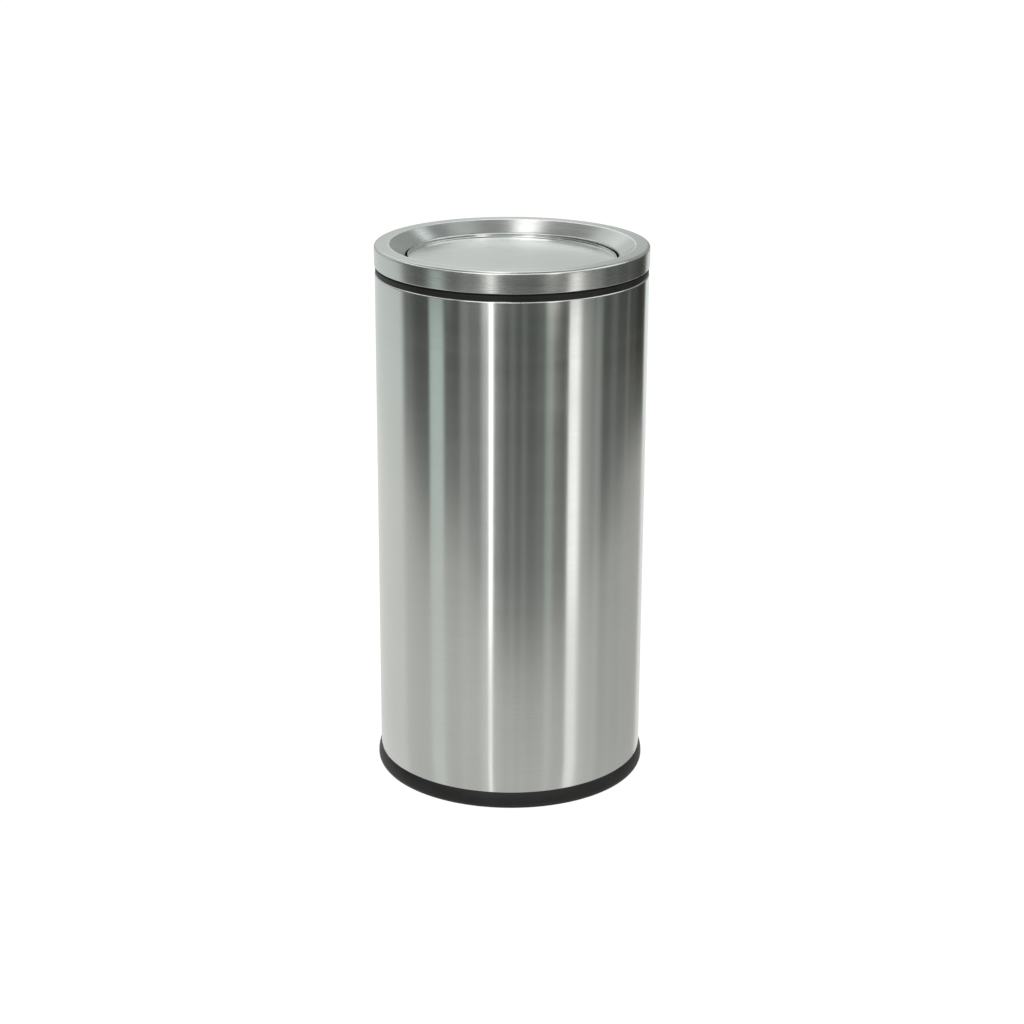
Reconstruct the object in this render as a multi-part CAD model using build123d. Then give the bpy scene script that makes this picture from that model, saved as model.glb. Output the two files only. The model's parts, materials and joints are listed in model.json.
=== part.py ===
from build123d import *
import math
import os

# Round waste bin: polished steel shell on a black base ring, lift-out galvanised
# liner with a wire bail, and a lift-off lid whose round flap swings on two pins.
# Millimetres, +Z up, -Y is the front, origin at the middle of the footprint.

os.makedirs("parts", exist_ok=True)

# ---------------------------------------------------------------- dimensions
# shell
shell_r = 150.0            # outer radius
shell_t = 0.8              # sheet
shell_bottom_z = 4.0
shell_top_z = 574.5
shell_lip = 1.9            # width of the edge turned in at the top

# base ring
base_r = 153.2             # widest radius of the bulged wall
base_bulge_z = 5.5
base_h = 18.2
base_hole_r = 138.0
base_floor_t = 4.0
base_screw_r = 143.5       # radius of the screw circle

# bottom plate
plate_z = 8.0
plate_t = 0.8
plate_flange_h = 16.0

# neck ring on the shell's top edge
neck_in_r = 145.6
neck_spigot_r = 147.4
neck_band_r = 149.5
neck_guide_r = 147.6
neck_low_z = 555.6
neck_band_z = 580.4
neck_top_z = 602.2

# liner
liner_r = 134.0            # inner radius
liner_t = 0.6
liner_low_z = 9.0
liner_top_z = 559.6
curl_r = 2.3               # rolled rim, centre line
rim_wire_r = 1.95
liner_floor_z = 15.1

# bail
bail_z = 561.8
bail_wire_r = 2.0
bail_hole_r = 2.08
bail_reach = 121.0
ear_in_r = 132.4
grip_r = 5.0
grip_len = 84.0

# lid
lid_r = 150.6
lid_top_z = 605.6
lid_low_z = 582.2
lid_t = 0.8
lip_r = 134.3              # where the flat rim turns down into the funnel
throat_r = 116.6           # inner radius of the short neck under the funnel
throat_z = 593.0
throat_low_z = 569.0

# flap
flap_r = 114.2
flap_top_z = 589.2         # upper face of the pan's flat bottom
flap_rim_z = 592.4         # top edge of the pan's rim
flap_t = 0.8
pivot_z = 580.2
flap_tilt = 0.8            # degrees, left side a little high, as it hangs
journal_r = 3.0
bush_bore_r = 3.06
weight_shift = 0.0890      # lets the flap hang at that tilt


# ------------------------------------------------------------------- helpers
def _unit(a, b):
    d = (b[0] - a[0], b[1] - a[1])
    n = math.hypot(*d)
    return (d[0] / n, d[1] / n)


def _vec(p):
    return Vector(p[0], 0, p[1])


def _spin(p, c, ang):
    """Point p turned about point c."""
    x, z = p[0] - c[0], p[1] - c[1]
    return (c[0] + x * math.cos(ang) - z * math.sin(ang), c[1] + x * math.sin(ang) + z * math.cos(ang))


def _side(path, d):
    """Edges of the line that runs d to the left of a path of (r, z, bend radius) points."""
    bends = []
    for i in range(1, len(path) - 1):
        p, r = path[i][:2], path[i][2]
        u1, u2 = _unit(path[i - 1], p), _unit(p, path[i + 1])
        turn = math.atan2(u1[0] * u2[1] - u1[1] * u2[0], u1[0] * u2[0] + u1[1] * u2[1])
        s = 1 if turn > 0 else -1
        t = r * math.tan(abs(turn) / 2)
        a = (p[0] - u1[0] * t, p[1] - u1[1] * t)
        c = (a[0] - u1[1] * s * r, a[1] + u1[0] * s * r)
        start = (a[0] - u1[1] * d, a[1] + u1[0] * d)
        if bends and math.dist(bends[-1][0], c) < 1e-4:
            bends[-1][2] += turn          # two bends about one centre are one arc
        else:
            bends.append([c, start, turn])
    u0, u1 = _unit(path[0], path[1]), _unit(path[-2], path[-1])
    at = first = (path[0][0] - u0[1] * d, path[0][1] + u0[0] * d)
    last = (path[-1][0] - u1[1] * d, path[-1][1] + u1[0] * d)
    edges = []
    for c, start, turn in bends:
        if math.dist(at, start) > 1e-4:
            edges.append(Edge.make_line(_vec(at), _vec(start)))
        else:
            start = at
        mid, end = _spin(start, c, turn / 2), _spin(start, c, turn)
        edges.append(Edge.make_three_point_arc(_vec(start), _vec(mid), _vec(end)))
        at = end
    if math.dist(at, last) > 1e-4:
        edges.append(Edge.make_line(_vec(at), _vec(last)))
    return edges, first, last


def sheet_ring(path, t):
    """Bent sheet of thickness t, turned about Z, from its centre line."""
    left, l0, l1 = _side(path, t / 2)
    right, r0, r1 = _side(path, -t / 2)
    edges = left + right
    for a, b in ((l0, r0), (l1, r1)):
        edges.append(Edge.make_line(_vec(a), _vec(b)))
    return revolve(Face(Wire(edges)), Axis.Z, 360)


def outline_face(points):
    """Face in the XZ plane from a closed outline of (x, z) or (x, z, corner radius) points."""
    pts = [(p[0], p[1], p[2] if len(p) > 2 else 0) for p in points]
    n, parts = len(pts), []
    for i, (x, z, r) in enumerate(pts):
        if r:
            a, b = pts[i - 1], pts[(i + 1) % n]
            u1, u2 = _unit(a, (x, z)), _unit((x, z), b)
            cosang = u1[0] * u2[0] + u1[1] * u2[1]
            cross = u1[0] * u2[1] - u1[1] * u2[0]
            turn = math.atan2(cross, cosang)
            s = 1 if turn > 0 else -1
            t = r * math.tan(abs(turn) / 2)
            start = (x - u1[0] * t, z - u1[1] * t)
            end = (x + u2[0] * t, z + u2[1] * t)
            c = (start[0] - u1[1] * s * r, start[1] + u1[0] * s * r)
            m = (start[0] + end[0] - 2 * c[0], start[1] + end[1] - 2 * c[1])
            k = math.hypot(*m)
            parts.append((start, (c[0] + m[0] / k * r, c[1] + m[1] / k * r), end))
        else:
            parts.append(((x, z), None, (x, z)))
    edges = []
    for i, (start, mid, end) in enumerate(parts):
        if mid:
            edges.append(Edge.make_three_point_arc(_vec(start), _vec(mid), _vec(end)))
        nxt = parts[(i + 1) % n][0]
        if math.dist(end, nxt) > 1e-4:
            edges.append(Edge.make_line(_vec(end), _vec(nxt)))
    return Face(Wire(edges))


def turned(points):
    """Solid of revolution from a closed outline of (r, z) or (r, z, corner radius) points."""
    return revolve(outline_face(points), Axis.Z, 360)


def rod_y(r, y0, y1, x=0.0, z=0.0):
    """Round bar along Y."""
    c = Cylinder(r, abs(y1 - y0), rotation=(90, 0, 0))
    return Pos(x, (y0 + y1) / 2, z) * c


def rod_z(r, z0, z1, x=0.0, y=0.0):
    return Pos(x, y, (z0 + z1) / 2) * Cylinder(r, z1 - z0)


def block(x0, x1, y0, y1, z0, z1):
    return Pos((x0 + x1) / 2, (y0 + y1) / 2, (z0 + z1) / 2) * Box(x1 - x0, y1 - y0, z1 - z0)


def tube(r_in, r_out, z0, z1):
    return rod_z(r_out, z0, z1) - rod_z(r_in, z0 - 1, z1 + 1)


def plate_y(outline, y0, y1):
    """Flat plate drawn in X and Z as (x, z, corner radius) points, standing between two Y values."""
    return Pos(0, y0, 0) * extrude(outline_face(outline), amount=y1 - y0, dir=(0, 1, 0))


def rear_of(shape):
    """The same piece on the other side of the bin, half a turn about Z."""
    return Rot(0, 0, 180) * shape


def hang(shape):
    """Turns a flap piece about the pivot axis to the angle at which the flap hangs."""
    return Pos(0, 0, pivot_z) * Rot(0, flap_tilt, 0) * Pos(0, 0, -pivot_z) * shape


def solids_of(*shapes):
    out = []
    for s in shapes:
        out.extend(s.solids())
    return out


def write(name, *shapes):
    solids = solids_of(*shapes)
    part = solids[0] if len(solids) == 1 else Compound(children=solids)
    part.label = name
    export_step(part, f"parts/{name}.step")
    return part


# ------------------------------------------------------------ body of the bin
mid = shell_t / 2
outer_shell = sheet_ring(
    [
        (shell_r - mid, shell_bottom_z, 0),
        (shell_r - mid, shell_top_z - mid, 1.4),
        (shell_r - shell_lip - mid, shell_top_z - mid, 0),
    ],
    shell_t,
)
write("outer_shell", outer_shell)

# black ring: bulged wall outside the shell, flat floor under it
arc_top = 28.4
arc_low = 8.0
top_mid_z = (base_bulge_z + base_h) / 2
top_mid_r = base_r - arc_top + math.sqrt(arc_top**2 - (top_mid_z - base_bulge_z) ** 2)
top_end_r = base_r - arc_top + math.sqrt(arc_top**2 - (base_h - base_bulge_z) ** 2)
low_mid_z = base_bulge_z / 2
low_mid_r = base_r - arc_low + math.sqrt(arc_low**2 - (base_bulge_z - low_mid_z) ** 2)
low_end_r = base_r - arc_low + math.sqrt(arc_low**2 - base_bulge_z**2)
groove = [
    (top_end_r, base_h),
    (shell_r + 0.15, base_h),
    (shell_r, base_h - 0.9),
    (shell_r, base_floor_t),
    (base_hole_r, base_floor_t),
    (base_hole_r, 0),
    (low_end_r, 0),
]
edges = [
    Edge.make_three_point_arc(_vec((low_end_r, 0)), _vec((low_mid_r, low_mid_z)), _vec((base_r, base_bulge_z))),
    Edge.make_three_point_arc(
        _vec((base_r, base_bulge_z)), _vec((top_mid_r, top_mid_z)), _vec((top_end_r, base_h))
    ),
]
for a, b in zip(groove, groove[1:]):
    if math.dist(a, b) > 1e-4:
        edges.append(Edge.make_line(_vec(a), _vec(b)))
base_ring = revolve(Face(Wire(edges)), Axis.Z, 360)
screw_at = [
    (base_screw_r * math.cos(math.radians(a)), base_screw_r * math.sin(math.radians(a)))
    for a in (45, 135, 225, 315)
]
for x, y in screw_at:
    base_ring += rod_z(4.6, base_floor_t - 0.5, plate_z, x, y)
for x, y in screw_at:
    base_ring -= rod_z(2.0, -1, plate_z + 1, x, y)
    base_ring -= rod_z(4.2, -1, 2.8, x, y)
write("base_ring", base_ring)

# pressed bottom with a stiffening bead and an upturned flange inside the shell
pc = plate_z + plate_t / 2
flange_r = shell_r - shell_t - plate_t / 2
bottom_plate = sheet_ring(
    [
        (0, pc, 0),
        (88, pc, 2.5),
        (92, pc + 3.2, 2.5),
        (106, pc + 3.2, 2.5),
        (110, pc, 2.5),
        (flange_r, pc, 1.8),
        (flange_r, pc + plate_flange_h, 0),
    ],
    plate_t,
)
for x, y in screw_at:
    bottom_plate -= rod_z(2.0, plate_z - 1, plate_z + 4, x, y)
write("bottom_plate", bottom_plate)

base_screws = []
for x, y in screw_at:
    s = rod_z(3.9, 0.8, 2.8, x, y) + rod_z(2.0, 2.8, 12.0, x, y)
    s += Pos(x, y, 13.0) * Cone(2.0, 0.5, 2.0)
    s = s - Pos(x, y, 0.8) * Box(4.6, 0.9, 2.0) - Pos(x, y, 0.8) * Box(0.9, 4.6, 2.0)
    base_screws.append(s)
write("base_screws", *base_screws)

# black neck ring: spigot in the shell, visible band, guide wall under the lid
neck_ring = turned(
    [
        (neck_in_r, neck_low_z, 0.4),
        (neck_spigot_r, neck_low_z, 0.8),
        (neck_spigot_r, shell_top_z),
        (neck_band_r, shell_top_z, 0.7),
        (neck_band_r, neck_band_z, 0.9),
        (neck_guide_r, neck_band_z),
        (neck_guide_r, neck_top_z, 0.8),
        (neck_in_r, neck_top_z, 0.8),
    ]
)
write("neck_ring", neck_ring)

# --------------------------------------------------------------------- liner
lc = liner_r + liner_t / 2
cz = liner_top_z - liner_t / 2
liner_wall = sheet_ring(
    [
        (lc, liner_low_z, 0),
        (lc, cz, curl_r),
        (lc + 2 * curl_r, cz, curl_r),
        (lc + 2 * curl_r, cz - 2 * curl_r, curl_r),
        (lc + 1.5, cz - 2 * curl_r, 0),
    ],
    liner_t,
)
rivet_z = 542.6
rivet_az = [90 - 3.7, 90 + 3.7, 270 - 3.7, 270 + 3.7]


def radial(shape_on_x, az):
    """A shape drawn along +X, turned about Z to an azimuth."""
    return Rot(0, 0, az) * shape_on_x


def rod_x(r, x0, x1, z):
    return Pos((x0 + x1) / 2, 0, z) * Cylinder(r, x1 - x0, rotation=(0, 90, 0))


for az in rivet_az:
    liner_wall -= radial(rod_x(2.0, liner_r - 3, liner_r + 3, rivet_z), az)
write("liner_wall", liner_wall)

fr = liner_r - liner_t / 2
liner_bottom = sheet_ring(
    [
        (0, liner_floor_z + liner_t / 2, 0),
        (60, liner_floor_z + liner_t / 2, 3.0),
        (64, liner_floor_z + liner_t / 2 - 1.6, 3.0),
        (fr - 14, liner_floor_z + liner_t / 2 - 1.6, 3.0),
        (fr - 10, liner_floor_z + liner_t / 2, 2.0),
        (fr, liner_floor_z + liner_t / 2, 1.2),
        (fr, liner_low_z + 0.2, 0),
    ],
    liner_t,
)
write("liner_bottom", liner_bottom)

rim_wire = Pos(0, 0, cz - curl_r) * Torus(lc + curl_r, rim_wire_r)
write("liner_rim_wire", rim_wire)

ear_outline = [
    (-14, rivet_z - 9, 4),
    (14, rivet_z - 9, 4),
    (14, rivet_z + 11, 6),
    (8.5, rivet_z + 26, 5),
    (-8.5, rivet_z + 26, 5),
    (-14, rivet_z + 11, 6),
]
ear = plate_y(ear_outline, 128, 137) & tube(ear_in_r, liner_r, 530, 575)
ear -= rod_y(bail_hole_r, 125, 140, 0, bail_z)
for az in (90 - 3.7, 90 + 3.7):
    ear -= radial(rod_x(2.0, 128, 138, rivet_z), az)
write("rear_handle_ear", ear)
write("front_handle_ear", rear_of(ear))

ear_rivets = []
for az in rivet_az:
    shank = rod_x(2.0, ear_in_r - 0.5, liner_r + liner_t + 0.4, rivet_z)
    head = Pos(ear_in_r - 0.06, 0, rivet_z) * Rot(0, -90, 0) * Pos(0, 0, 0.65) * Cone(3.4, 2.2, 1.3)
    tail = rod_x(3.1, liner_r + liner_t, liner_r + liner_t + 1.1, rivet_z)
    ear_rivets.append(radial(shank + head + tail, az))
write("ear_rivets", *ear_rivets)

# ---------------------------------------------------------------------- bail
bail_y = 137.4
turn_x = 82.0
turn_y = 65.1
bail_path = FilletPolyline(
    (0, 130.0, bail_z),
    (0, bail_y, bail_z),
    (turn_x, bail_y, bail_z),
    (bail_reach, turn_y, bail_z),
    (bail_reach, -turn_y, bail_z),
    (turn_x, -bail_y, bail_z),
    (0, -bail_y, bail_z),
    (0, -130.0, bail_z),
    radius=[3, 132, 12, 12, 132, 3],
)
bail_section = Plane(origin=bail_path @ 0, z_dir=bail_path % 0) * Circle(bail_wire_r)
bail_wire = sweep(bail_section, path=bail_path)
for y0, y1 in ((128.9, 130.2), (-130.2, -128.9)):
    bail_wire += rod_y(3.1, y0, y1, 0, bail_z)
write("bail_wire", bail_wire)

grip = rod_y(grip_r, -grip_len / 2, grip_len / 2, bail_reach, bail_z)
grip = fillet(grip.edges().filter_by(GeomType.CIRCLE), 1.6)
for k in range(5):
    y = (k - 2) * 14.0
    ring_cut = rod_y(grip_r + 1, y - 0.8, y + 0.8, bail_reach, bail_z) - rod_y(
        grip_r - 0.5, y - 1, y + 1, bail_reach, bail_z
    )
    grip -= ring_cut
grip -= rod_y(bail_wire_r, -grip_len, grip_len, bail_reach, bail_z)
write("bail_grip", grip)

# ----------------------------------------------------------------------- lid
h = lid_t / 2
lid_ring = sheet_ring(
    [
        (lid_r - 1.6, lid_low_z + 5.0, 0),
        (lid_r - 1.6, lid_low_z + h, 0.6),
        (lid_r - h, lid_low_z + h, 0.6),
        (lid_r - h, lid_top_z - h, 1.5),
        (lip_r, lid_top_z - h, 2.4),
        (throat_r + h, throat_z, 2.2),
        (throat_r + h, throat_low_z, 0),
    ],
    lid_t,
)
bracket_rivet_x = 10.5
bracket_rivet_z = pivot_z - 3.0
rivet_turn = math.degrees(math.asin(bracket_rivet_x / throat_r))
lid_rivet_az = [90 - rivet_turn, 90 + rivet_turn, 270 - rivet_turn, 270 + rivet_turn]
for az in lid_rivet_az:
    lid_ring -= radial(rod_x(1.6, throat_r - 3, throat_r + 4, bracket_rivet_z), az)
lid_ring -= rod_y(3.8, -throat_r - 6, -throat_r + 6, 0, pivot_z)
lid_ring -= rod_y(3.8, throat_r - 6, throat_r + 6, 0, pivot_z)
write("lid_ring", lid_ring)

lid_seal = turned(
    [
        (142.0, neck_top_z + 0.2, 0.5),
        (148.0, neck_top_z + 0.2, 0.5),
        (148.0, lid_top_z - lid_t),
        (142.0, lid_top_z - lid_t),
    ]
)
write("lid_seal", lid_seal)

# brackets outside the short neck: they carry the pins and end in a stop foot
br_in = throat_r + lid_t
br_out = br_in + 1.5
foot_z = pivot_z - 25.5
bracket = plate_y(
    [
        (-14, pivot_z + 5, 3),
        (14, pivot_z + 5, 3),
        (14, pivot_z - 9, 3),
        (8.5, pivot_z - 15, 2),
        (8.5, foot_z, 0),
        (-8.5, foot_z, 0),
        (-8.5, pivot_z - 15, 2),
        (-14, pivot_z - 9, 3),
    ],
    110,
    124,
) & tube(br_in, br_out, 545, 595)
foot = block(-8.5, 8.5, 111.5, 122, foot_z, foot_z + 1.5) & rod_z(br_out, 545, 595)
bracket += foot
bracket -= rod_y(4.0, 112, 124, 0, pivot_z)
for az in (90 - rivet_turn, 90 + rivet_turn):
    bracket -= radial(rod_x(1.6, 112, 124, bracket_rivet_z), az)
write("rear_pivot_bracket", bracket)
write("front_pivot_bracket", rear_of(bracket))

bracket_rivets = []
for az in lid_rivet_az:
    s = rod_x(1.6, throat_r - 0.2, br_out + 0.2, bracket_rivet_z)
    s += rod_x(2.3, throat_r - 0.35, throat_r - 0.02, bracket_rivet_z)
    s += rod_x(2.5, br_out, br_out + 1.2, bracket_rivet_z)
    bracket_rivets.append(radial(s, az))
write("bracket_rivets", *bracket_rivets)

nut_y0, nut_y1 = br_out, br_out + 5.0
hexagon = RegularPolygon(7.5, 6)
nut = Pos(0, nut_y1, pivot_z) * Rot(90, 0, 0) * extrude(hexagon, 5.0)
nut -= rod_y(4.0, nut_y0 - 1, nut_y1 + 1, 0, pivot_z)
write("pin_nuts", nut, rear_of(nut))

pin = rod_y(journal_r, 101.5, 109.0, 0, pivot_z)
pin = chamfer(pin.faces().sort_by(Axis.Y)[0].edges(), 0.6)
pin += rod_y(3.7, 108.9, br_in + 0.2, 0, pivot_z)
pin += rod_y(4.0, br_in, nut_y1 + 0.1, 0, pivot_z)
head = rod_y(6.0, nut_y1, nut_y1 + 2.8, 0, pivot_z)
head = fillet(head.faces().sort_by(Axis.Y)[-1].edges(), 0.8)
pin += head
pin -= Pos(0, nut_y1 + 2.8, pivot_z) * Box(13, 2.6, 1.4)
write("rear_pivot_pin", pin)
write("front_pivot_pin", rear_of(pin))

bumper = block(-7.5, 7.5, 110.7, br_in - 0.6, foot_z - 1.2, foot_z + 4.5)
bumper = fillet(bumper.edges().filter_by(Axis.X), 1.0)
bumper -= block(-9, 9, 111.5, 125, foot_z, foot_z + 1.5)
write("stop_bumpers", bumper, rear_of(bumper))

# ---------------------------------------------------------------------- flap
flap_disc = sheet_ring(
    [
        (0, flap_top_z - flap_t / 2, 0),
        (flap_r - flap_t / 2, flap_top_z - flap_t / 2, 1.6),
        (flap_r - flap_t / 2, flap_rim_z, 0),
    ],
    flap_t,
)
write("flap_disc", hang(flap_disc))

under = flap_top_z - flap_t
ch_w, ch_t, ch_len, leg_z = 12.0, 1.2, 107.0, pivot_z - 4.0
channel = block(-ch_w, ch_w, -ch_len, ch_len, leg_z, under)
channel = fillet(channel.edges().filter_by(Axis.Y).sort_by(Axis.Z)[-2:], 1.0)
channel -= block(-ch_w + ch_t, ch_w - ch_t, -ch_len - 1, ch_len + 1, leg_z - 1, under - ch_t)
tab = plate_y(
    [(-10.8, under - ch_t, 0), (10.8, under - ch_t, 0), (10.8, pivot_z - 3, 0),
     (6.5, pivot_z - 7, 3), (-6.5, pivot_z - 7, 3), (-10.8, pivot_z - 3, 0)],
    ch_len - 1.5,
    ch_len,
)
channel = channel + tab + rear_of(tab)
channel -= rod_y(5.0, -120, 120, 0, pivot_z)
write("flap_channel", hang(channel))

bush = rod_y(5.0, 102.5, ch_len, 0, pivot_z) + rod_y(7.0, ch_len, ch_len + 1.6, 0, pivot_z)
bush -= rod_y(bush_bore_r, 100, 112, 0, pivot_z)
write("rear_pivot_bush", hang(bush))
write("front_pivot_bush", hang(rear_of(bush)))

w_low, w_y, screw_y = pivot_z - 21.0, 70.0, 45.0
weight = Pos(weight_shift, 0, 0) * block(-12, 12, -w_y, w_y, w_low, leg_z)
weight = chamfer(weight.edges().filter_by(Axis.Y).sort_by(Axis.Z)[:2], 1.5)
for y in (-screw_y, screw_y):
    weight -= rod_z(2.7, w_low - 1, leg_z + 1, 0, y)
write("counterweight", hang(weight))

screws, nuts, washers = [], [], []
for y in (-screw_y, screw_y):
    washers.append(rod_z(5.2, w_low - 1.0, w_low, 0, y) - rod_z(2.6, w_low - 2, w_low + 1, 0, y))
    hd = rod_z(4.4, w_low - 4.0, w_low - 1.0, 0, y)
    hd = fillet(hd.faces().sort_by(Axis.Z)[0].edges(), 1.0)
    s = hd + rod_z(2.5, w_low - 1.5, pivot_z + 6.4, 0, y)
    s -= Pos(0, y, w_low - 4.0) * extrude(RegularPolygon(2.3, 6), 1.8)
    screws.append(s)
    n = Pos(0, y, under - ch_t - 5.0) * extrude(RegularPolygon(4.6, 6), 5.0)
    nuts.append(n - rod_z(2.5, 570, 596, 0, y))
write("weight_screws", *[hang(s) for s in screws])
write("weight_nuts", *[hang(n) for n in nuts])
write("weight_washers", *[hang(w) for w in washers])
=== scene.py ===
import json
import math

import bmesh
import bpy
from mathutils import Matrix, Vector


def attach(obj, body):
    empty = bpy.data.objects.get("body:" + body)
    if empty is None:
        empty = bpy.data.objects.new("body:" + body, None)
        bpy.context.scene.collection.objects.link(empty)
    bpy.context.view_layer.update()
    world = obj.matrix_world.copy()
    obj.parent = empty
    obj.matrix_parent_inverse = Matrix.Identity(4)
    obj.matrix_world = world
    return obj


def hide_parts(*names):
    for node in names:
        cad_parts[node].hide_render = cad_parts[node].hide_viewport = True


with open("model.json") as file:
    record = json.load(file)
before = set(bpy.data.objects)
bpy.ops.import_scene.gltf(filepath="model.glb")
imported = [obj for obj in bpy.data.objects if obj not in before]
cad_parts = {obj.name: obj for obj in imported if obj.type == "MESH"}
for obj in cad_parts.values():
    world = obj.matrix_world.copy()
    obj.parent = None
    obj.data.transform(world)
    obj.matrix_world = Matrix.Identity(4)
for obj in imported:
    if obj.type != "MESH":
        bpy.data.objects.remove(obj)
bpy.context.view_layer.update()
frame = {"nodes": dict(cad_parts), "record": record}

scene = bpy.context.scene
scene.view_settings.view_transform = "Standard"
scene.view_settings.look = "None"
scene.view_settings.exposure = 0.0
scene.view_settings.gamma = 1.0
nodes = frame["nodes"]
RAD = math.radians
MM = 0.001

# ---------------------------------------------------------------------- camera
cam_data = bpy.data.cameras.new("camera")
cam_data.lens = 78.219
cam_data.sensor_width = 36.0
cam_data.clip_start, cam_data.clip_end = 0.05, 100.0
camera = bpy.data.objects.new("camera", cam_data)
scene.collection.objects.link(camera)
camera.matrix_world = (
    Matrix.Translation((0.0, -2.3917, 1.0956))
    @ Matrix.Rotation(-0.0005, 4, "Z")
    @ Matrix.Rotation(RAD(90.0 - 18.4795), 4, "X")
    @ Matrix.Rotation(0.0046, 4, "Z")
)
scene.camera = camera


# ------------------------------------------------------------- mesh: turned parts
def bend_points(path, step=RAD(9)):
    """Points and unit tangents along a line of (r, z, bend radius) points, with each bend drawn as an arc."""
    pts = []
    n = len(path)
    for i, p in enumerate(path):
        x, z = p[0], p[1]
        r = p[2] if len(p) > 2 else 0
        if i == 0 or i == n - 1:
            a, b = (path[0], path[1]) if i == 0 else (path[-2], path[-1])
            d = Vector((b[0] - a[0], b[1] - a[1])).normalized()
            pts.append((Vector((x, z)), d))
            continue
        u1 = Vector((x - path[i - 1][0], z - path[i - 1][1])).normalized()
        u2 = Vector((path[i + 1][0] - x, path[i + 1][1] - z)).normalized()
        turn = math.atan2(u1.x * u2.y - u1.y * u2.x, u1.dot(u2))
        if r <= 0 or abs(turn) < 1e-4:
            pts.append((Vector((x, z)), (u1 + u2).normalized()))
            continue
        s = 1 if turn > 0 else -1
        t = r * math.tan(abs(turn) / 2)
        a = Vector((x, z)) - u1 * t
        c = a + Vector((-u1.y, u1.x)) * s * r
        steps = max(3, int(math.ceil(abs(turn) / step)))
        for k in range(steps + 1):
            ang = turn * k / steps
            v = a - c
            q = c + Vector((v.x * math.cos(ang) - v.y * math.sin(ang), v.x * math.sin(ang) + v.y * math.cos(ang)))
            d = Vector((u1.x * math.cos(ang) - u1.y * math.sin(ang), u1.x * math.sin(ang) + u1.y * math.cos(ang)))
            if pts and (pts[-1][0] - q).length < 1e-5:
                continue
            pts.append((q, d))
    return pts


def sheet_outline(path, t, step=RAD(9), edge=0.14, extra=()):
    """Closed outline of a bent sheet of thickness t whose centre line is path; both cut edges are rounded a little."""
    mid = bend_points(path, step)
    if extra:
        more = []
        for (p, d), (q, e) in zip(mid, mid[1:]):
            more.append((p, d))
            for f in extra:
                if (q - p).length > 12:
                    more.append((p.lerp(q, f), (q - p).normalized()))
        mid = more + [mid[-1]]
    left = [p + Vector((-d.y, d.x)) * t / 2 for p, d in mid]
    right = [p - Vector((-d.y, d.x)) * t / 2 for p, d in mid]
    out = []
    e = min(edge, t * 0.45)
    on_axis = abs(mid[0][0].x) < 1e-6

    def cut(p, d, first):
        """Rounded end of the sheet at p, going from one side to the other."""
        n = Vector((-d.y, d.x))
        s = -1 if first else 1
        pts = []
        for k in range(5):
            a = RAD(90) * k / 4
            pts.append(p + s * n * (t / 2 - e + e * math.cos(a)) + d * s * (e * math.sin(a) - e))
        for k in range(5):
            a = RAD(90) * (1 - k / 4)
            pts.append(p - s * n * (t / 2 - e + e * math.cos(a)) + d * s * (e * math.sin(a) - e))
        return pts

    if on_axis:
        out.append(left[0])
    else:
        out += cut(mid[0][0], mid[0][1], True)
    out += left[1:-1]
    out += cut(mid[-1][0], mid[-1][1], False)
    out += reversed(right[1:-1])
    if on_axis:
        out.append(right[0])
    return out, not on_axis


def corner_outline(points, step=RAD(11)):
    """Closed outline from (r, z) or (r, z, corner radius) points."""
    n = len(points)
    out = []
    for i, p in enumerate(points):
        if len(p) < 3 or not p[2]:
            out.append(Vector(p[:2]))
            continue
        three = [tuple(points[i - 1][:2]) + (0,), tuple(p), tuple(points[(i + 1) % n][:2]) + (0,)]
        out += [q for q, _ in bend_points(three, step)[1:-1]]
    return out, True


def even_angles(n, start=0.0):
    return [start + 2 * math.pi * k / n for k in range(n)]


def lathe(name, outline, closed, angles, wobble=None, sharp=38, flip=False):
    """Turns an outline of (r, z) points, in millimetres, about Z into a mesh object, in metres."""
    verts, faces, poles = [], [], {}
    m, n = len(outline), len(angles)
    index = {}
    for j, p in enumerate(outline):
        if p.x < 1e-6:
            poles[j] = len(verts)
            verts.append((0.0, 0.0, p.y * MM))
            continue
        for i, a in enumerate(angles):
            r, z = p.x, p.y
            if wobble:
                r, z = wobble(r, z, a, j)
            index[(j, i)] = len(verts)
            verts.append((r * math.cos(a) * MM, r * math.sin(a) * MM, z * MM))
    for j in range(m if closed else m - 1):
        k = (j + 1) % m
        for i in range(n):
            h = (i + 1) % n
            if j in poles and k in poles:
                continue
            if j in poles:
                faces.append((poles[j], index[(k, i)], index[(k, h)]))
            elif k in poles:
                faces.append((index[(j, i)], poles[k], index[(j, h)]))
            else:
                faces.append((index[(j, i)], index[(k, i)], index[(k, h)], index[(j, h)]))
    mesh = bpy.data.meshes.new(name)
    mesh.from_pydata(verts, [], faces)
    mesh.validate()
    bm = bmesh.new()
    bm.from_mesh(mesh)
    bmesh.ops.recalc_face_normals(bm, faces=bm.faces)
    bm.to_mesh(mesh)
    bm.free()
    mesh.shade_smooth()
    mesh.set_sharp_from_angle(angle=RAD(sharp))
    o = bpy.data.objects.new(name, mesh)
    scene.collection.objects.link(o)
    return o


def cutter(kind, r, p0, p1, n=48):
    """Round bar between two points, in millimetres, used to cut a hole."""
    bm = bmesh.new()
    a, b = Vector(p0), Vector(p1)
    rot = (b - a).to_track_quat("Z", "Y").to_matrix().to_4x4()
    bmesh.ops.create_cone(
        bm, cap_ends=True, segments=n, radius1=r * MM, radius2=r * MM, depth=(b - a).length * MM,
        matrix=Matrix.Translation((a + b) / 2 * MM) @ rot,
    )
    mesh = bpy.data.meshes.new(kind)
    bm.to_mesh(mesh)
    bm.free()
    o = bpy.data.objects.new(kind, mesh)
    scene.collection.objects.link(o)
    return o


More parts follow.
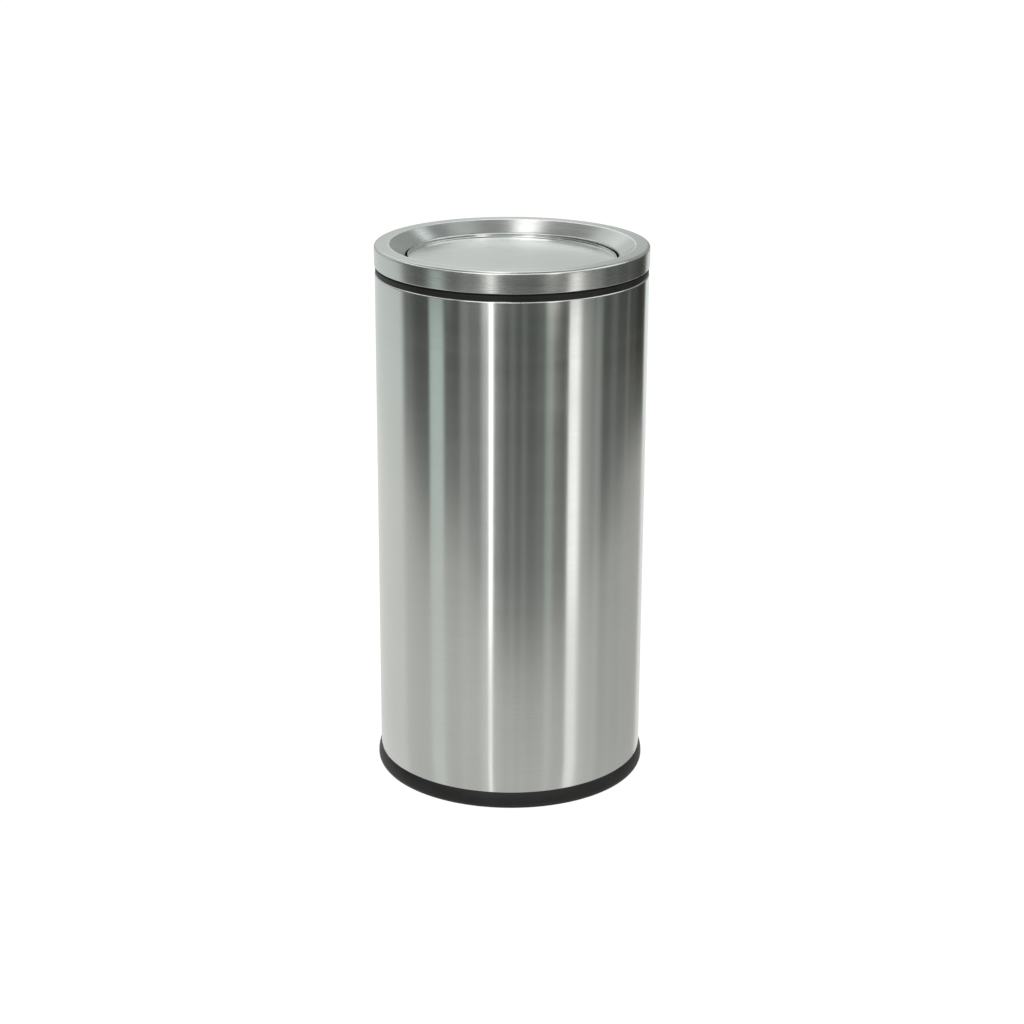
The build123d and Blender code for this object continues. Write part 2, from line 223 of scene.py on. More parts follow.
def cut_holes(o, tools, sharp=38, op="DIFFERENCE"):
    for t in tools:
        mod = o.modifiers.new("cut", "BOOLEAN")
        mod.operation = op
        mod.solver = "EXACT"
        mod.object = t
    dg = bpy.context.evaluated_depsgraph_get()
    mesh = bpy.data.meshes.new_from_object(o.evaluated_get(dg))
    o.modifiers.clear()
    old = o.data
    o.data = mesh
    mesh.name = old.name
    bpy.data.meshes.remove(old)
    for t in tools:
        me = t.data
        bpy.data.objects.remove(t)
        bpy.data.meshes.remove(me)
    mesh.shade_smooth()
    mesh.set_sharp_from_angle(angle=RAD(sharp))


def stands_for(o, node, body, material):
    o.data.materials.clear()
    o.data.materials.append(material)
    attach(o, body)
    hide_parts(node)
    return o


# --------------------------------------------------------------------- materials
class Mat:
    """A node material with one Principled surface, and short calls to build its node tree."""

    def __init__(self, name, **values):
        self.mat = bpy.data.materials.new(name)
        self.mat.use_nodes = True
        self.nt = self.mat.node_tree
        self.nt.nodes.clear()
        self.out = self.nt.nodes.new("ShaderNodeOutputMaterial")
        self.bsdf = self.nt.nodes.new("ShaderNodeBsdfPrincipled")
        self.nt.links.new(self.bsdf.outputs[0], self.out.inputs["Surface"])
        for k, v in values.items():
            self.bsdf.inputs[k.replace("_", " ")].default_value = v
        self.pos = self.node("ShaderNodeTexCoord").outputs["Object"]
        self.xyz = self.node("ShaderNodeSeparateXYZ", Vector=self.pos)

    def node(self, kind, **inputs):
        n = self.nt.nodes.new(kind)
        for k, v in inputs.items():
            self.set(n, k.replace("_", " "), v)
        return n

    def set(self, n, key, v):
        s = n.inputs[key]
        if isinstance(v, bpy.types.NodeSocket):
            self.nt.links.new(v, s)
        elif isinstance(v, bpy.types.Node):
            self.nt.links.new(v.outputs[0], s)
        else:
            s.default_value = v

    def math(self, op, a, b=None, c=None, clamp=False):
        n = self.nt.nodes.new("ShaderNodeMath")
        n.operation = op
        n.use_clamp = clamp
        for i, v in enumerate((a, b, c)):
            if v is not None:
                self.set(n, i, v)
        return n.outputs[0]

    def stretch(self, sx, sy, sz):
        """Object position with each axis scaled: a large number gives short grain along that axis."""
        n = self.node("ShaderNodeVectorMath")
        n.operation = "MULTIPLY"
        self.set(n, 0, self.pos)
        n.inputs[1].default_value = (sx, sy, sz)
        return n.outputs[0]

    def noise(self, vec, scale=1.0, detail=3.0, rough=0.55, distort=0.0):
        n = self.node("ShaderNodeTexNoise", Vector=vec, Scale=scale, Detail=detail, Roughness=rough, Distortion=distort)
        return n.outputs[0]

    def voronoi(self, vec, scale, feature="F1", out="Distance", rand=1.0):
        n = self.node("ShaderNodeTexVoronoi", Vector=vec, Scale=scale, Randomness=rand)
        n.feature = feature
        return n.outputs[out]

    def remap(self, v, a, b, c, d, smooth=False):
        n = self.node("ShaderNodeMapRange")
        n.interpolation_type = "SMOOTHSTEP" if smooth else "LINEAR"
        self.set(n, "Value", v)
        for k, x in zip(("From Min", "From Max", "To Min", "To Max"), (a, b, c, d)):
            self.set(n, k, x)
        return n.outputs[0]

    def mix(self, fac, a, b, blend="MIX"):
        n = self.node("ShaderNodeMix")
        n.data_type = "RGBA"
        n.blend_type = blend
        self.set(n, 0, fac)
        self.set(n, 6, a if isinstance(a, bpy.types.NodeSocket) else (*a, 1.0))
        self.set(n, 7, b if isinstance(b, bpy.types.NodeSocket) else (*b, 1.0))
        return n.outputs[2]

    def ramp(self, fac, *stops):
        n = self.node("ShaderNodeValToRGB", Fac=fac)
        e = n.color_ramp.elements
        while len(e) < len(stops):
            e.new(0.5)
        for el, (p, c) in zip(e, stops):
            el.position = p
            el.color = (*c, 1.0)
        return n.outputs[0]

    def color(self, v):
        self.set(self.bsdf, "Base Color", v)

    def rough(self, v):
        self.set(self.bsdf, "Roughness", v)

    def bump(self, height, distance, strength=1.0, under=None):
        n = self.node("ShaderNodeBump", Height=height, Distance=distance, Strength=strength)
        if under is not None:
            self.set(n, "Normal", under)
        self.set(self.bsdf, "Normal", n.outputs[0])
        return n.outputs[0]


def polished_steel():
    """Bright rolled sheet with a fine hairline that runs round the bin."""
    m = Mat("polished_steel_hairline", Metallic=1.0, Anisotropic=0.92, Anisotropic_Rotation=0.25)
    hair = m.noise(m.stretch(9, 9, 1500), detail=2.0)
    fine = m.noise(m.stretch(30, 30, 5200), detail=1.0)
    cloud = m.noise(m.stretch(7, 7, 4), detail=3.0)
    wipe = m.noise(m.stretch(3, 3, 26), detail=4.0, distort=0.4)
    c = m.mix(m.remap(cloud, 0.35, 0.65, 0, 1), (0.600, 0.622, 0.608), (0.632, 0.652, 0.636))
    c = m.mix(m.remap(hair, 0.3, 0.7, 0.0, 0.16), c, (0.50, 0.515, 0.505))
    # ground-back weld line of the shell, on the side away from the camera
    seam = m.math("MULTIPLY", m.remap(m.math("ABSOLUTE", m.xyz.outputs[0]), 0.0006, 0.0022, 1, 0, True),
                  m.remap(m.xyz.outputs[1], 0.0, 0.05, 0, 1))
    c = m.mix(m.math("MULTIPLY", seam, 0.35), c, (0.46, 0.44, 0.40))
    m.color(c)
    r = m.math("ADD", m.remap(hair, 0.2, 0.8, 0.145, 0.185), m.remap(wipe, 0.35, 0.75, 0.0, 0.03))
    r = m.math("ADD", r, m.math("MULTIPLY", seam, 0.10))
    m.rough(r)
    h = m.math("ADD", m.math("MULTIPLY", hair, 0.7), m.math("MULTIPLY", fine, 0.3))
    m.bump(h, 0.000010, 0.10)
    return m.mat


def satin_steel(name, straight):
    """Brushed sheet: a turned grain on the spun lid, a straight grain on the flap's flat disc."""
    m = Mat(name, Metallic=1.0, Anisotropic=0.0 if straight else 0.6, Anisotropic_Rotation=0.25)
    if straight:
        grain = m.noise(m.stretch(14, 1500, 1500), detail=2.0)
        broad = m.noise(m.stretch(5, 160, 160), detail=2.0)
    else:
        rad = m.math("SQRT", m.math("ADD", m.math("MULTIPLY", m.xyz.outputs[0], m.xyz.outputs[0]),
                                    m.math("MULTIPLY", m.xyz.outputs[1], m.xyz.outputs[1])))
        v = m.node("ShaderNodeCombineXYZ")
        m.set(v, 0, m.math("MULTIPLY", rad, 1500.0))
        m.set(v, 1, m.math("MULTIPLY", m.xyz.outputs[2], 1500.0))
        m.set(v, 2, m.math("MULTIPLY", m.math("ARCTAN2", m.xyz.outputs[0], m.xyz.outputs[1]), 2.2))
        grain = m.noise(v.outputs[0], detail=2.0)
        w = m.node("ShaderNodeCombineXYZ")
        m.set(w, 0, m.math("MULTIPLY", rad, 170.0))
        m.set(w, 1, m.math("MULTIPLY", m.xyz.outputs[2], 170.0))
        m.set(w, 2, m.math("MULTIPLY", m.math("ARCTAN2", m.xyz.outputs[0], m.xyz.outputs[1]), 1.1))
        broad = m.noise(w.outputs[0], detail=2.0)
    cloud = m.noise(m.stretch(11, 11, 11), detail=3.0)
    k = 1.13 if straight else 1.0
    c = m.mix(m.remap(cloud, 0.35, 0.65, 0, 1), (0.575 * k, 0.592 * k, 0.578 * k), (0.615 * k, 0.630 * k, 0.616 * k))
    c = m.mix(m.remap(grain, 0.3, 0.7, 0.0, 0.22), c, (0.50 * k, 0.51 * k, 0.50 * k))
    m.color(c)
    lo, hi = (0.17, 0.22) if straight else (0.23, 0.29)
    r = m.math("ADD", m.remap(grain, 0.2, 0.8, lo, hi), m.remap(broad, 0.3, 0.7, -0.012, 0.018))
    if not straight:
        # painted highlight: a narrow band at the bend into the funnel is given a lighter colour and more roughness,
        # standing in for light caught on the bend
        ring = m.math("MULTIPLY", m.remap(m.math("ABSOLUTE", m.math("SUBTRACT", rad, 0.1346)), 0.0005, 0.0013, 1, 0, True),
                      m.remap(m.xyz.outputs[2], 0.6035, 0.6042, 0, 1))
        c = m.mix(ring, c, (0.80, 0.81, 0.80))
        m.color(c)
        r = m.math("ADD", r, m.math("MULTIPLY", ring, 0.12))
    m.rough(r)
    m.bump(grain, 0.000008, 0.06)
    return m.mat


def black_plastic():
    """Moulded black plastic with a fine spark-eroded grain."""
    m = Mat("black_plastic_moulded", IOR=1.49, Specular_IOR_Level=0.24)
    grain = m.noise(m.pos, 2600, detail=2.0)
    cell = m.voronoi(m.pos, 1500)
    cloud = m.noise(m.pos, 28, detail=3.0)
    m.color(m.mix(m.remap(cloud, 0.35, 0.65, 0, 1), (0.0085, 0.0088, 0.0085), (0.0125, 0.0128, 0.0122)))
    m.rough(m.math("ADD", m.remap(grain, 0.25, 0.75, 0.40, 0.52), m.remap(cloud, 0.3, 0.7, -0.02, 0.03)))
    m.bump(m.math("ADD", m.math("MULTIPLY", grain, 0.6), m.math("MULTIPLY", cell, 0.4)), 0.00005, 0.25)
    return m.mat


def black_rubber():
    m = Mat("black_rubber_matt", IOR=1.5)
    grain = m.noise(m.pos, 1900, detail=3.0)
    dust = m.noise(m.pos, 120, detail=4.0)
    m.color(m.mix(m.remap(dust, 0.45, 0.8, 0, 0.5), (0.018, 0.018, 0.018), (0.050, 0.049, 0.047)))
    m.rough(m.remap(grain, 0.3, 0.7, 0.72, 0.88))
    m.bump(grain, 0.00008, 0.3)
    return m.mat


def galvanised():
    """Hot-dipped sheet: large crystals of slightly different shade and gloss."""
    m = Mat("galvanised_spangle", Metallic=1.0)
    warp = m.noise(m.pos, 30, detail=2.0)
    v = m.node("ShaderNodeVectorMath")
    v.operation = "ADD"
    m.set(v, 0, m.pos)
    m.set(v, 1, m.node("ShaderNodeVectorMath").outputs[0])
    sc = v.inputs[1].links[0].from_node
    sc.operation = "SCALE"
    nz = m.node("ShaderNodeTexNoise", Vector=m.pos, Scale=38.0, Detail=2.0)
    m.set(sc, 0, nz.outputs[1])
    sc.inputs["Scale"].default_value = 0.006
    vor = m.node("ShaderNodeTexVoronoi", Vector=v.outputs[0], Scale=95.0)
    sep = m.node("ShaderNodeSeparateColor", Color=vor.outputs["Color"])
    facet = sep.outputs[0]
    fine = m.noise(m.pos, 420, detail=3.0)
    c = m.ramp(facet, (0.0, (0.40, 0.42, 0.43)), (0.45, (0.50, 0.52, 0.53)), (1.0, (0.62, 0.64, 0.64)))
    c = m.mix(m.remap(warp, 0.4, 0.7, 0.0, 0.25), c, (0.44, 0.45, 0.45))
    m.color(c)
    m.rough(m.math("ADD", m.remap(facet, 0, 1, 0.34, 0.50), m.remap(fine, 0.3, 0.7, -0.03, 0.04)))
    edge = m.node("ShaderNodeTexVoronoi", Vector=v.outputs[0], Scale=95.0)
    edge.feature = "DISTANCE_TO_EDGE"
    h = m.math("ADD", m.math("MULTIPLY", facet, 0.4),
               m.math("MULTIPLY", m.remap(edge.outputs["Distance"], 0.0, 0.10, 0, 1), 0.6))
    m.bump(h, 0.00006, 0.25)
    return m.mat


def zinc_plated(name="zinc_plate_bright"):
    m = Mat(name, Metallic=1.0)
    big = m.noise(m.pos, 75, detail=3.0)
    fine = m.noise(m.pos, 900, detail=3.0)
    c = m.ramp(big, (0.30, (0.58, 0.60, 0.62)), (0.5, (0.64, 0.635, 0.60)), (0.70, (0.60, 0.57, 0.50)))
    c = m.mix(m.remap(fine, 0.55, 0.8, 0, 0.35), c, (0.42, 0.42, 0.41))
    m.color(c)
    m.rough(m.math("ADD", m.remap(fine, 0.3, 0.7, 0.24, 0.34), m.remap(big, 0.3, 0.7, -0.03, 0.05)))
    m.bump(fine, 0.00003, 0.2)
    return m.mat


def weight_paint():
    """Black painted steel bar: slight orange peel and a few rubbed spots."""
    m = Mat("black_paint_on_steel", IOR=1.5)
    peel = m.noise(m.pos, 420, detail=1.5)
    dust = m.noise(m.pos, 60, detail=5.0, rough=0.65)
    rub = m.math("MULTIPLY", m.remap(m.noise(m.pos, 140, detail=5.0, rough=0.7), 0.66, 0.72, 0, 1, True), 0.8)
    m.color(m.mix(rub, m.mix(m.remap(dust, 0.4, 0.7, 0, 0.5), (0.022, 0.022, 0.024), (0.05, 0.05, 0.05)), (0.30, 0.29, 0.28)))
    m.set(m.bsdf, "Metallic", m.math("MULTIPLY", rub, 0.9))
    m.rough(m.math("ADD", m.remap(dust, 0.3, 0.7, 0.30, 0.45), m.math("MULTIPLY", rub, 0.1)))
    m.bump(peel, 0.00012, 0.25)
    return m.mat


def nylon():
    m = Mat("natural_nylon", IOR=1.53, Subsurface_Weight=0.25, Subsurface_Scale=0.002)
    big = m.noise(m.pos, 160, detail=3.0)
    fine = m.noise(m.pos, 1600, detail=2.0)
    m.color(m.mix(m.remap(big, 0.3, 0.7, 0, 1), (0.70, 0.685, 0.63), (0.78, 0.77, 0.72)))
    m.rough(m.remap(fine, 0.3, 0.7, 0.38, 0.50))
    m.bump(fine, 0.00004, 0.2)
    return m.mat


def wire_steel():
    m = Mat("drawn_galvanised_wire", Metallic=1.0)
    big = m.noise(m.pos, 45, detail=3.0)
    fine = m.noise(m.pos, 650, detail=3.0)
    m.color(m.mix(m.remap(big, 0.3, 0.7, 0, 1), (0.46, 0.475, 0.48), (0.57, 0.58, 0.58)))
    m.rough(m.remap(fine, 0.3, 0.7, 0.30, 0.46))
    m.bump(fine, 0.00005, 0.25)
    return m.mat


MATS = {
    "polished_steel": polished_steel(),
    "satin_steel": satin_steel("satin_steel_turned", False),
    "satin_straight": satin_steel("satin_steel_straight", True),
    "black_plastic": black_plastic(),
    "black_rubber": black_rubber(),
    "galvanised_steel": galvanised(),
    "zinc_plated": zinc_plated(),
    "weight_steel": weight_paint(),
    "nylon": nylon(),
    "wire_steel": wire_steel(),
}
for part in frame["record"]["subparts"]:
    o = nodes[part["node"]]
    for s in o.material_slots:
        s.material = MATS[part["material_slot"]]

# ---------------------------------------------------------- pieces of the outside
SEGMENTS = 480
# the shell has extra columns beside its weld line, at the back
seam_offsets = [-1.4, -0.8, -0.45, -0.2, 0.0, 0.2, 0.45, 0.8, 1.4]
shell_angles = [a for a in even_angles(SEGMENTS) if abs(a - math.pi / 2) * 150 > 1.9]
shell_angles = sorted(shell_angles + [math.pi / 2 + s / 150.0 for s in seam_offsets])


def seam_dip(r, z, a, j):
    s = abs(a - math.pi / 2) * 150.0
    if s < 0.5:
        r -= 0.10 * (1 - s / 0.5)
    return r, z


outline, closed = sheet_outline([(149.6, 4, 0), (149.6, 574.1, 1.4), (147.7, 574.1, 0)], 0.8,
                                extra=[k / 12 for k in range(1, 12)])
shell = lathe("shell_skin", outline, closed, shell_angles, wobble=seam_dip)
stands_for(shell, "outer_shell", "bin", MATS["polished_steel"])

outline, closed = corner_outline([
    (145.6, 555.6, 0.4), (147.4, 555.6, 0.8), (147.4, 574.5), (149.5, 574.5, 0.7),
    (149.5, 580.4, 0.9), (147.6, 580.4), (147.6, 602.2, 0.8), (145.6, 602.2, 0.8),
])
neck = lathe("neck_band", outline, closed, even_angles(SEGMENTS))
stands_for(neck, "neck_ring", "bin", MATS["black_plastic"])



def skirt_belly(r, z, a, j):
    """The pressed skirt draws in a little towards its lower edge."""
    if r > 147.0 and z < 599.0:
        r -= 0.25 * ((599.0 - z) / 16.8) ** 2
    return r, z


lid_path = [
    (149.0, 587.2, 0), (149.0, 582.6, 0.6), (150.2, 582.6, 0.6), (150.2, 605.2, 2.8),
    (134.3, 605.2, 2.4), (117.0, 593.0, 2.2), (117.0, 569.0, 0),
]
outline, closed = sheet_outline(lid_path, 0.8, step=RAD(7), extra=[k / 8 for k in range(1, 8)])
lid = lathe("lid_pressing", outline, closed, even_angles(SEGMENTS), wobble=skirt_belly)
holes = [cutter("hole", 3.8, (0, s * 110, 580.2), (0, s * 125, 580.2)) for s in (-1, 1)]
holes += [cutter("hole", 1.6, (x, s * 110, 577.2), (x, s * 125, 577.2), 24) for s in (-1, 1) for x in (-10.5, 10.5)]
cut_holes(lid, holes)
stands_for(lid, "lid_ring", "lid", MATS["satin_steel"])

outline, closed = sheet_outline([(0, 588.8, 0), (113.8, 588.8, 1.6), (113.8, 592.4, 0)], 0.8, step=RAD(8),
                                extra=(0.2, 0.4, 0.6, 0.8, 0.95))
disc = lathe("flap_pan", outline, closed, even_angles(SEGMENTS))
disc.data.transform(
    Matrix.Translation((0, 0, 0.5802)) @ Matrix.Rotation(RAD(0.8), 4, "Y") @ Matrix.Translation((0, 0, -0.5802))
)
stands_for(disc, "flap_disc", "flap", MATS["satin_straight"])


# ------------------------------------------------------------------------ studio
def plane(name, size, z, material, visible):
    bm = bmesh.new()
    bmesh.ops.create_circle(bm, cap_ends=True, segments=96, radius=size)
    mesh = bpy.data.meshes.new(name)
    bm.to_mesh(mesh)
    bm.free()
    o = bpy.data.objects.new(name, mesh)
    o.location = (0, 0, z)
    scene.collection.objects.link(o)
    mesh.materials.append(material)
    for k in ("camera", "diffuse", "glossy", "transmission", "shadow"):
        setattr(o, "visible_" + k, k in visible)
    return o


def floor_material():
    """Pale seamless paper, lit evenly from all round."""
    m = bpy.data.materials.new("floor_paper")
    m.use_nodes = True
    nt = m.node_tree
    nt.nodes.clear()
    out = nt.nodes.new("ShaderNodeOutputMaterial")
    add = nt.nodes.new("ShaderNodeAddShader")
    dif = nt.nodes.new("ShaderNodeBsdfDiffuse")
    dif.inputs["Color"].default_value = (0.06, 0.06, 0.06, 1)
    em = nt.nodes.new("ShaderNodeEmission")
    em.inputs["Color"].default_value = (1, 1, 1, 1)
    em.inputs["Strength"].default_value = 0.975
    nt.links.new(dif.outputs[0], add.inputs[0])
    nt.links.new(em.outputs[0], add.inputs[1])
    back = nt.nodes.new("ShaderNodeBsdfTransparent")
    geo = nt.nodes.new("ShaderNodeNewGeometry")
    mix = nt.nodes.new("ShaderNodeMixShader")
    nt.links.new(geo.outputs["Backfacing"], mix.inputs[0])
    nt.links.new(add.outputs[0], mix.inputs[1])
    nt.links.new(back.outputs[0], mix.inputs[2])
    nt.links.new(mix.outputs[0], out.inputs["Surface"])
    return m


def sheen_material():
    """The floor as the steel sees it: a pale mat under and behind the bin, polished enough to show some of the
    room's strips, with a dim floor round it."""
    m = bpy.data.materials.new("floor_sheet")
    m.use_nodes = True
    nt = m.node_tree
    nt.nodes.clear()
    out = nt.nodes.new("ShaderNodeOutputMaterial")
    tc = nt.nodes.new("ShaderNodeTexCoord")

    def ramp(value, *limits):
        mr = nt.nodes.new("ShaderNodeMapRange")
        mr.interpolation_type = "SMOOTHSTEP"
        nt.links.new(value, mr.inputs["Value"])
        for k, x in zip(("From Min", "From Max", "To Min", "To Max"), limits):
            mr.inputs[k].default_value = x
        return mr.outputs[0]

    def distance(location, scale):
        sp = nt.nodes.new("ShaderNodeMapping")
        sp.inputs["Location"].default_value = location
        sp.inputs["Scale"].default_value = scale
        nt.links.new(tc.outputs["Object"], sp.inputs["Vector"])
        ln = nt.nodes.new("ShaderNodeVectorMath")
        ln.operation = "LENGTH"
        nt.links.new(sp.outputs[0], ln.inputs[0])
        return ln.outputs["Value"]

    def op(kind, x, y):
        n = nt.nodes.new("ShaderNodeMath")
        n.operation = kind
        nt.links.new(x, n.inputs[0])
        nt.links.new(y, n.inputs[1])
        return n.outputs[0]

    sep = nt.nodes.new("ShaderNodeSeparateXYZ")
    nt.links.new(tc.outputs["Object"], sep.inputs[0])
    cover = ramp(sep.outputs[0], -0.25, 0.35, 0.76, 0.60)
    mat = op("MULTIPLY", ramp(distance((0.10 / 1.40, -0.45 / 1.12, 0), (1 / 1.40, 1 / 1.12, 1)), 0.88, 1.06, 1, 0), cover)
    left = op("MULTIPLY", ramp(distance((0.55, 0.42, 0), (1, 1, 1)), 0.34, 0.48, 1, 0), cover)
    dim = ramp(distance((0, 0, 0), (1, 1, 1)), 0.5, 2.3, 0.20, 0.0)
    alpha = op("MAXIMUM", op("MAXIMUM", mat, left), dim)
    em = nt.nodes.new("ShaderNodeEmission")
    em.inputs["Color"].default_value = (0.84, 0.83, 0.80, 1)
    em.inputs["Strength"].default_value = 1.0
    tr = nt.nodes.new("ShaderNodeBsdfTransparent")
    mix = nt.nodes.new("ShaderNodeMixShader")
    nt.links.new(alpha, mix.inputs[0])
    nt.links.new(tr.outputs[0], mix.inputs[1])
    nt.links.new(em.outputs[0], mix.inputs[2])
    nt.links.new(mix.outputs[0], out.inputs["Surface"])
    return m


plane("floor", 30.0, 0.0, floor_material(), ("camera", "diffuse"))
plane("floor_glow", 2.6, -0.0004, sheen_material(), ("glossy",))


class Sky:
    """World light: a plain dim room with soft boxes and flags standing round the bin."""

    def __init__(self, base):
        w = bpy.data.worlds.new("studio")
        scene.world = w
        w.use_nodes = True
        self.nt = w.node_tree
        self.nt.nodes.clear()
        tc = self.nt.nodes.new("ShaderNodeTexCoord")
        self.dir = tc.outputs["Generated"]
        sep = self.nt.nodes.new("ShaderNodeSeparateXYZ")
        self.nt.links.new(self.dir, sep.inputs[0])
        self.x, self.y, self.z = sep.outputs
        neg = self.op("MULTIPLY", self.y, -1.0)
        # degrees from the camera's side, right is positive; and the same from behind
        self.az = self.op("MULTIPLY", self.op("ARCTAN2", self.x, neg), 180 / math.pi)
        self.back = self.op("MULTIPLY", self.op("ARCTAN2", self.x, self.y), 180 / math.pi)
        self.el = self.op("MULTIPLY", self.op("ARCSINE", self.z), 180 / math.pi)
        self.sum = self.combine(*base)

    def op(self, kind, a, b=None):
        n = self.nt.nodes.new("ShaderNodeMath")
        n.operation = kind
        for i, v in enumerate((a, b)):
            if v is None:
                continue
            if isinstance(v, bpy.types.NodeSocket):
                self.nt.links.new(v, n.inputs[i])
            else:
                n.inputs[i].default_value = v
        return n.outputs[0]

    def combine(self, r, g, b):
        n = self.nt.nodes.new("ShaderNodeCombineXYZ")
        for i, v in enumerate((r, g, b)):
            n.inputs[i].default_value = v
        return n.outputs[0]

    def ramp(self, v, a, b, lo=0.0, hi=1.0):
        n = self.nt.nodes.new("ShaderNodeMapRange")
        n.interpolation_type = "SMOOTHSTEP"
        self.nt.links.new(v, n.inputs["Value"])
        for k, x in zip(("From Min", "From Max", "To Min", "To Max"), (a, b, lo, hi)):
            n.inputs[k].default_value = x
        return n.outputs[0]

    def add(self, color, strength, *factors):
        """Adds light of a colour where all the factors are 1."""
        f = factors[0]
        for g in factors[1:]:
            f = self.op("MULTIPLY", f, g)
        n = self.nt.nodes.new("ShaderNodeVectorMath")
        n.operation = "MULTIPLY_ADD"
        n.inputs[0].default_value = [c * strength for c in color]
        self.nt.links.new(f, n.inputs[1])
        self.nt.links.new(self.sum, n.inputs[2])
        self.sum = n.outputs[0]

    def band(self, a, b, soft_a=1.0, soft_b=1.0, behind=False):
        """1 between two azimuths in degrees."""
        v = self.back if behind else self.az
        return self.op("MULTIPLY", self.ramp(v, a - soft_a, a + soft_a), self.ramp(v, b - soft_b, b + soft_b, 1, 0))

    def span(self, v, a, b, soft):
        """1 between two values of a direction's component."""
        return self.op("MULTIPLY", self.ramp(v, a - soft, a + soft), self.ramp(v, b - soft, b + soft, 1, 0))

    def height(self, a, b, soft_a=3.0, soft_b=3.0):
        return self.op("MULTIPLY", self.ramp(self.el, a - soft_a, a + soft_a),
                       self.ramp(self.el, b - soft_b, b + soft_b, 1, 0))

    def lobe(self, direction, inner, outer):
        d = Vector(direction).normalized()
        n = self.nt.nodes.new("ShaderNodeVectorMath")
        n.operation = "DOT_PRODUCT"
        self.nt.links.new(self.dir, n.inputs[0])
        n.inputs[1].default_value = d
        return self.ramp(n.outputs["Value"], math.cos(RAD(outer)), math.cos(RAD(inner)))

    def finish(self, camera_color):
        path = self.nt.nodes.new("ShaderNodeLightPath")
        lit = self.nt.nodes.new("ShaderNodeBackground")
        self.nt.links.new(self.sum, lit.inputs["Color"])
        plain = self.nt.nodes.new("ShaderNodeBackground")
        plain.inputs["Color"].default_value = (*camera_color, 1)
        mix = self.nt.nodes.new("ShaderNodeMixShader")
        out = self.nt.nodes.new("ShaderNodeOutputWorld")
        self.nt.links.new(path.outputs["Is Camera Ray"], mix.inputs[0])
        self.nt.links.new(lit.outputs[0], mix.inputs[1])
        self.nt.links.new(plain.outputs[0], mix.inputs[2])
        self.nt.links.new(mix.outputs[0], out.inputs["Surface"])


sky = Sky((0.070, 0.074, 0.069))
low = sky.height(-90, -3, 1, 5)
lower = sky.height(-90, -7, 1, 4)
brow = sky.height(-1, 14, 2, 4)
high = sky.height(1, 45, 5, 3)
# white wall to the left and behind, as the shell sees it
sky.add((0.97, 1.02, 0.99), 0.70, sky.band(-77, 30, 4.5, 3, behind=True), low)
sky.add((0.99, 1.05, 0.96), 0.10, sky.band(-102, -91, 3, 6), low)
sky.add((1.0, 0.98, 0.95), 0.15, sky.band(4, 30, 8, 2, behind=True), low)
# its upper half, as the lid sees it: light on the left, grey on the right
sky.add((0.98, 1.01, 0.99), 0.62, sky.band(-64, 4, 6, 5, behind=True), high)
sky.add((0.98, 1.01, 1.0), 0.32, sky.band(4, 62, 5, 10, behind=True), sky.height(1, 36, 5, 4))
sky.add((1.0, 1.0, 1.0), 0.40, sky.band(-30, 6, 6, 5, behind=True), sky.height(20, 45, 5, 4))
sky.add((1.0, 1.01, 1.0), 1.7, sky.band(-24, 22, 6, 6, behind=True), sky.height(42, 64, 6, 5))
# tall window on the left
sky.add((0.91, 1.07, 1.01), 0.63, sky.band(-72.6, -58.6, 0.7, 2.0), lower)
sky.add((0.94, 1.05, 1.01), 0.7, sky.band(-56, -50, 2, 2), brow)
# grey curtains
sky.add((1.0, 1.03, 0.97), 0.17, sky.band(-43.5, -36.0, 2.0, 1.0), low)
sky.add((1.0, 1.01, 0.98), 0.08, sky.band(-36, -22, 1, 3), low)
# narrow lamp strip with its glow
sky.add((0.98, 1.02, 1.0), 0.40, sky.band(-24.5, -18.5, 3.0, 1.0), low)
sky.add((1.0, 1.0, 0.97), 3.0, sky.band(-18.4, -15.4, 0.4, 0.4), low)
sky.add((1.0, 1.02, 0.97), 0.13, sky.band(-15, -9, 2, 3), low)
sky.add((1.0, 1.0, 0.98), 2.2, sky.band(-24, -13, 2, 2), brow)
# slots between dark flags in front
sky.add((1.0, 1.03, 0.96), 0.06, sky.band(-10.5, -5.5, 1.5, 1.5), low)
sky.add((0.97, 1.05, 0.97), 0.08, sky.band(-1.3, 3.3, 1.0, 1.0), low)
sky.add((0.99, 1.05, 0.96), 0.08, sky.band(8.7, 12.9, 1.0, 1.0), low)
sky.add((0.95, 1.09, 0.96), 0.045, sky.band(21, 28, 1.5, 1.0), low)
sky.add((0.90, 1.10, 1.0), 0.21, sky.band(28.6, 35.6, 1.0, 0.8), low)
# warm lamp above it, which only the lid sees
sky.add((1.07, 1.0, 0.92), 2.8, sky.band(29, 40, 2, 3), brow)
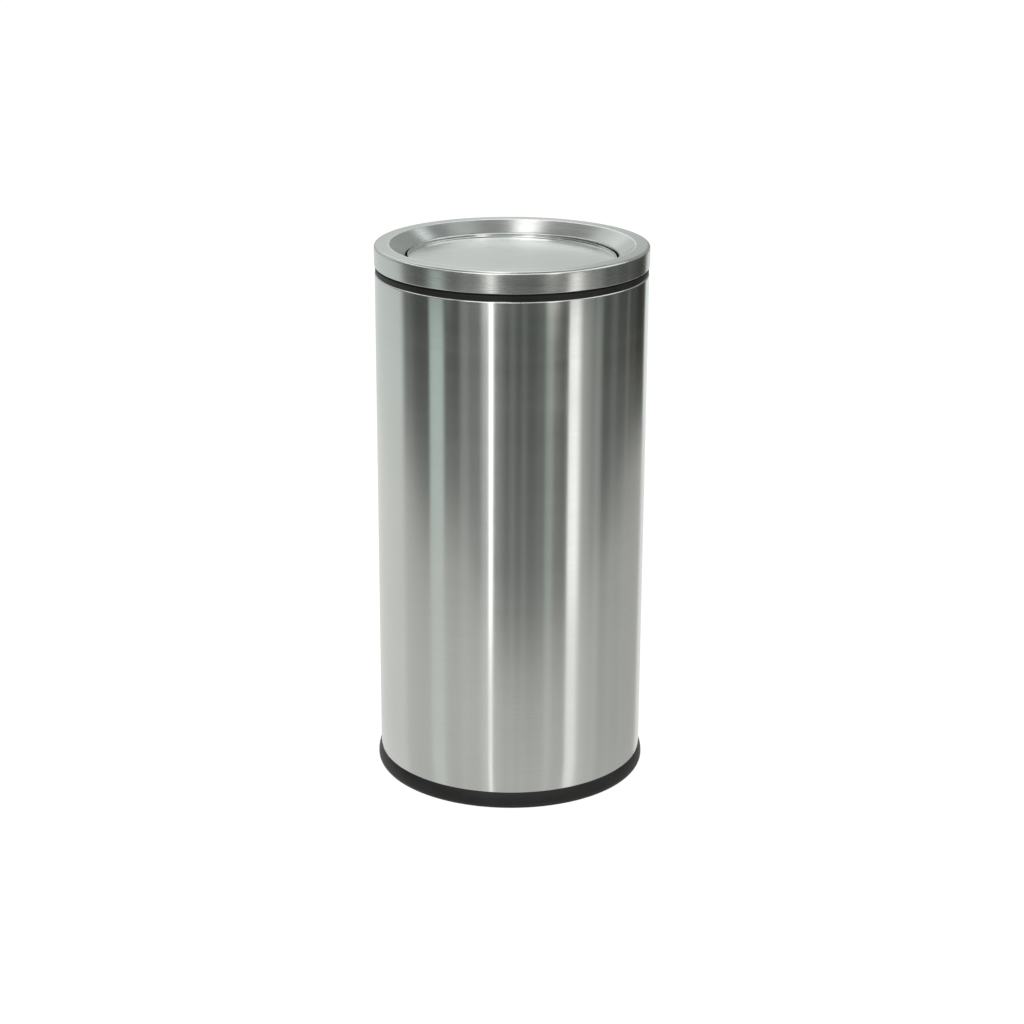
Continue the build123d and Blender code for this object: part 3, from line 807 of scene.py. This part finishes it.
# large window on the right, sharp on its left, fading to the right
sky.add((1.02, 1.0, 0.98), 1.55, sky.band(48.9, 59.0, 0.5, 4.0), lower)
sky.add((1.03, 1.01, 0.96), 0.45, sky.band(56, 72, 4, 12), lower)
sky.add((0.97, 1.05, 0.98), 0.20, sky.band(75.0, 82.0, 1.5, 1.5), lower)
# faint slots further right, and a dark corner
sky.add((1.0, 1.03, 0.97), 0.07, sky.band(92, 99.5, 2, 2), low)
sky.add((1.08, 1.0, 0.92), 0.09, sky.band(112.5, 116.5, 1, 1), low)
sky.add((0.8, 1.05, 1.15), -0.035, sky.band(129, 143, 3, 3), low)
# light panels over the camera, which the flap's rim and the lid's outer bend show
sky.add((1.0, 1.0, 0.99), 2.4, sky.band(-44, 2, 4, 5), sky.height(12, 40, 4, 8))
sky.add((0.98, 1.01, 1.0), 1.6, sky.band(2, 114, 5, 10), sky.height(14, 42, 4, 8))
sky.add((1.0, 1.0, 1.0), 1.2, sky.band(-120, -48, 8, 5), sky.height(20, 44, 5, 8))
# ceiling: dim, with a tube lamp that runs front to back, a round lamp and a faint one
sky.add((1.0, 1.0, 1.0), 0.19, sky.height(45, 95, 4, 1))
sky.add((1.0, 1.0, 0.98), 2.0, sky.span(sky.x, -0.20, -0.02, 0.035), sky.height(68, 95, 5, 1))
sky.add((0.95, 1.03, 1.02), 2.0, sky.lobe((0.44, 0.615, 0.66), 2, 6))
sky.add((0.96, 1.03, 1.02), 0.50, sky.lobe((0.334, 0.290, 0.895), 3, 10))
sky.finish((1.0, 1.0, 1.0))


def area(name, size, location, energy, color=(1, 1, 1)):
    d = bpy.data.lights.new(name, "AREA")
    d.shape = "DISK"
    d.size = size
    d.energy = energy
    d.color = color
    o = bpy.data.objects.new(name, d)
    o.location = location
    o.rotation_euler = (Vector((0, 0, 0.3)) - Vector(location)).to_track_quat("-Z", "Y").to_euler()
    o.visible_glossy = False
    o.visible_camera = False
    scene.collection.objects.link(o)
    return o


area("overhead", 2.6, (0.0, 0.0, 3.2), 62)
